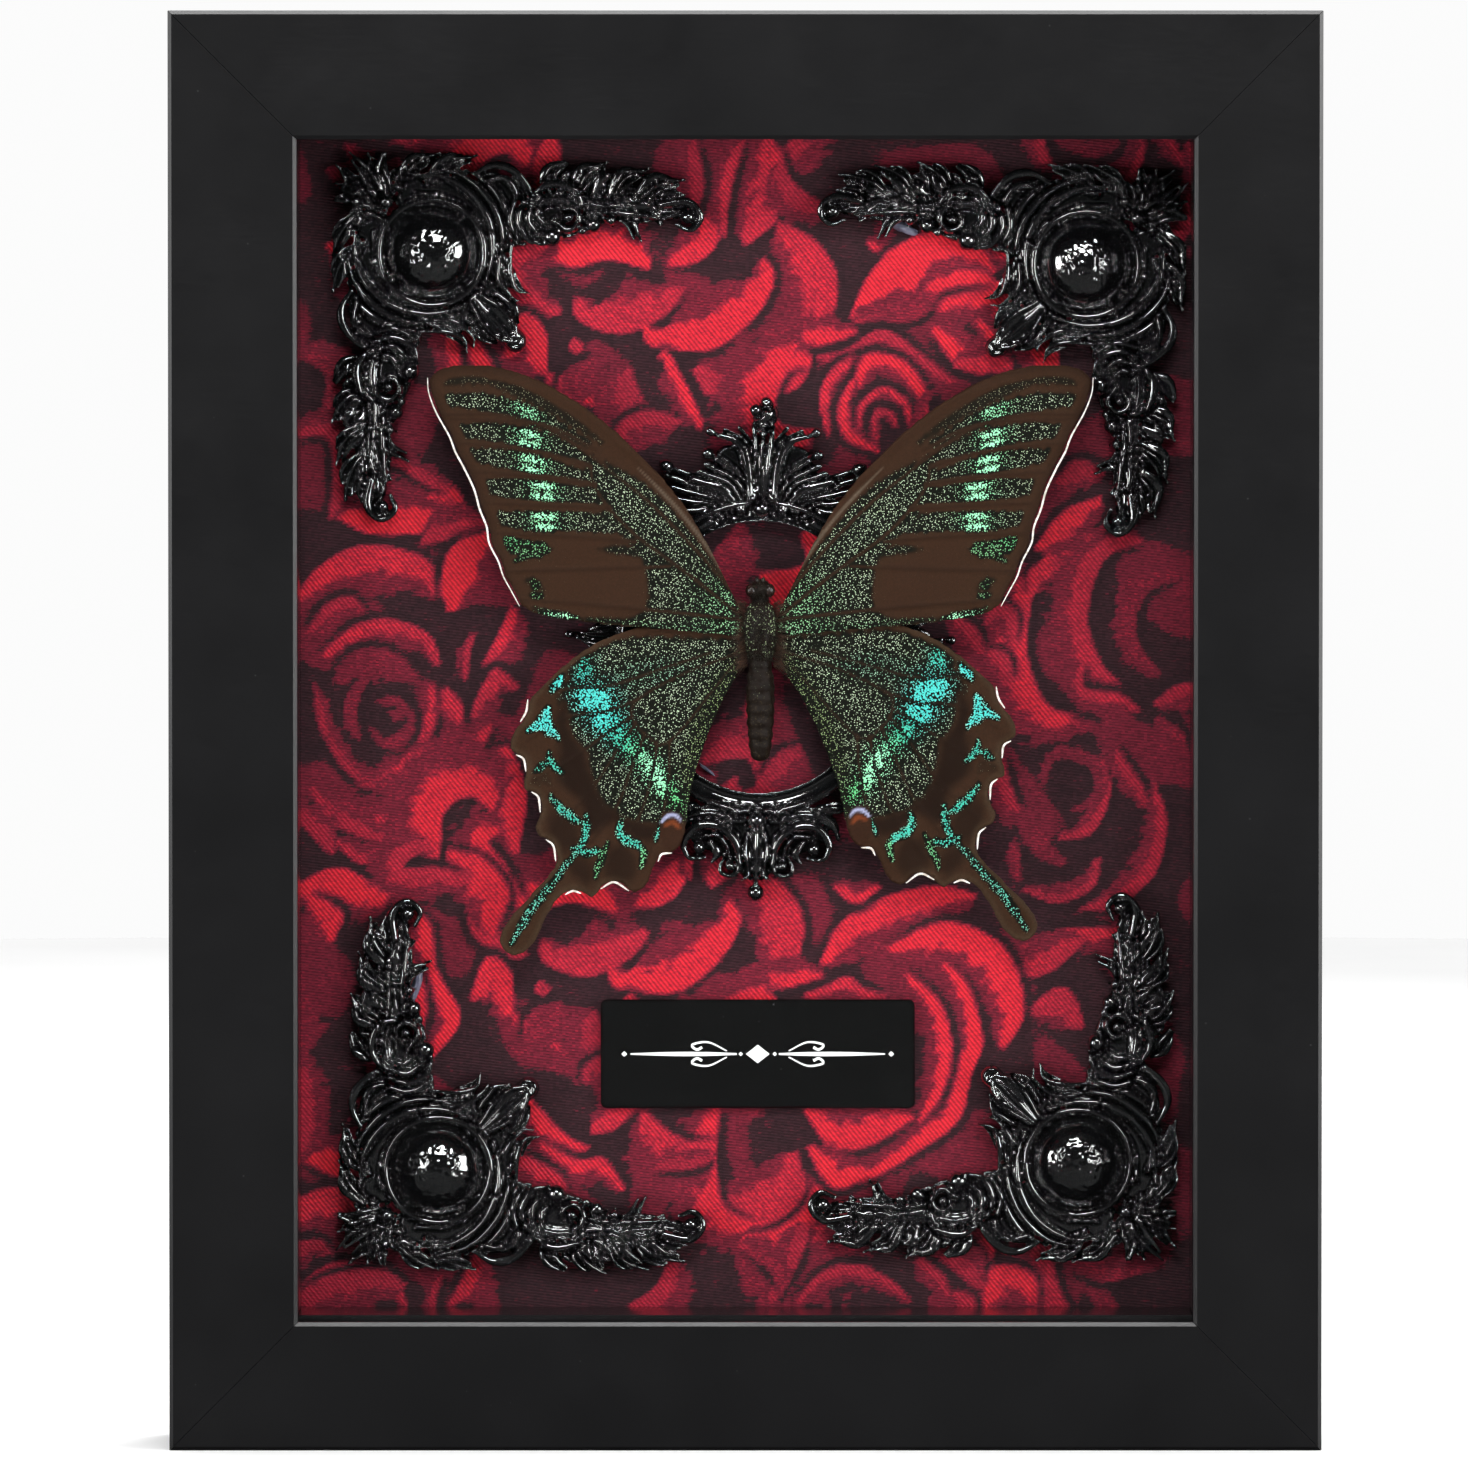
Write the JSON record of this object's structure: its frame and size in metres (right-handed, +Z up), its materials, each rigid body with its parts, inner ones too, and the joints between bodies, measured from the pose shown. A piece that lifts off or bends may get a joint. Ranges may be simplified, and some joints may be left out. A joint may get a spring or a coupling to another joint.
{
  "type": "framed butterfly specimen",
  "caption": "Spread swallowtail butterfly on red rose cloth with black moulded ornaments, in a glazed black shadow-box frame.",
  "frame": {"origin": "centre of the bounding box's bottom face, on the surface that the frame stands on", "axes": "+Z up along the frame's height, -Y out of the glazed front, +X to the right seen from the front"},
  "size_m": [0.185, 0.036, 0.231],
  "materials": {
    "frame_black": "satin black paint",
    "liner_black": "glossy black",
    "glass": "clear polished",
    "rose_cloth": "woven satin with roses in four reds",
    "mount_board": "matte",
    "black_resin": "glossy cast resin",
    "plate_black": "satin with a plain white mark",
    "wing_scales": "dark scales dusted with green",
    "body_hair": "short dark hair",
    "fibreboard": "pressed brown fibreboard",
    "steel": "zinc plated"
  },
  "bodies": {
    "root": {"frame_rail_top": "frame_black", "frame_rail_bottom": "frame_black", "frame_rail_left": "frame_black", "frame_rail_right": "frame_black", "liner_top": "liner_black", "liner_bottom": "liner_black", "liner_left": "liner_black", "liner_right": "liner_black", "glass_pane": "glass", "rose_fabric": "rose_cloth", "mount_board": "mount_board", "backboard": "fibreboard", "corner_ornament_top_left": "black_resin", "corner_ornament_top_right": "black_resin", "corner_ornament_bottom_left": "black_resin", "corner_ornament_bottom_right": "black_resin", "oval_cartouche": "black_resin", "nameplate": "plate_black", "forewing_left": "wing_scales", "forewing_right": "wing_scales", "hindwing_left": "wing_scales", "hindwing_right": "wing_scales", "butterfly_body": "body_hair", "frame_point_top": "steel", "frame_point_bottom": "steel", "frame_point_left_low": "steel", "frame_point_left_high": "steel", "frame_point_right_low": "steel", "frame_point_right_high": "steel", "sawtooth_hanger": "steel", "hanger_nail_left": "steel", "hanger_nail_right": "steel"}
  },
  "joints": []
}
